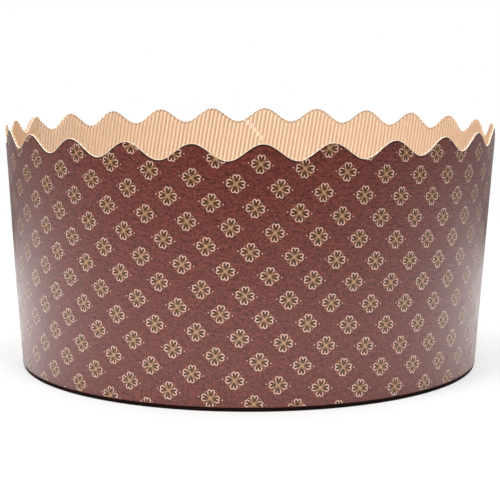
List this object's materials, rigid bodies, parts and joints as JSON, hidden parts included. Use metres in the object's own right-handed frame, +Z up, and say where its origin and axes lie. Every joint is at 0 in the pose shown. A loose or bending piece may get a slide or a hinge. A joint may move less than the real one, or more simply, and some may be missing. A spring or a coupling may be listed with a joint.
{
  "type": "panettone mold",
  "caption": "Round paper baking mould with a scalloped rim, a flared fluted wall folded in at the foot, and a fluted base disc with steam holes.",
  "frame": {"origin": "centre of the mould's outline in plan, on the plane it stands on", "axes": "+Z up through the open mouth, -Y towards the front of the picture, +X to its right"},
  "size_m": [0.1817, 0.1818, 0.0888],
  "materials": {
    "printed_fluted_paper": "greaseproof maroon print outside, bare fluted kraft inside",
    "kraft_fluted_paper": "bare fluted kraft"
  },
  "bodies": {
    "root": {"side_wall": "printed_fluted_paper", "base_disc": "kraft_fluted_paper"}
  },
  "joints": []
}
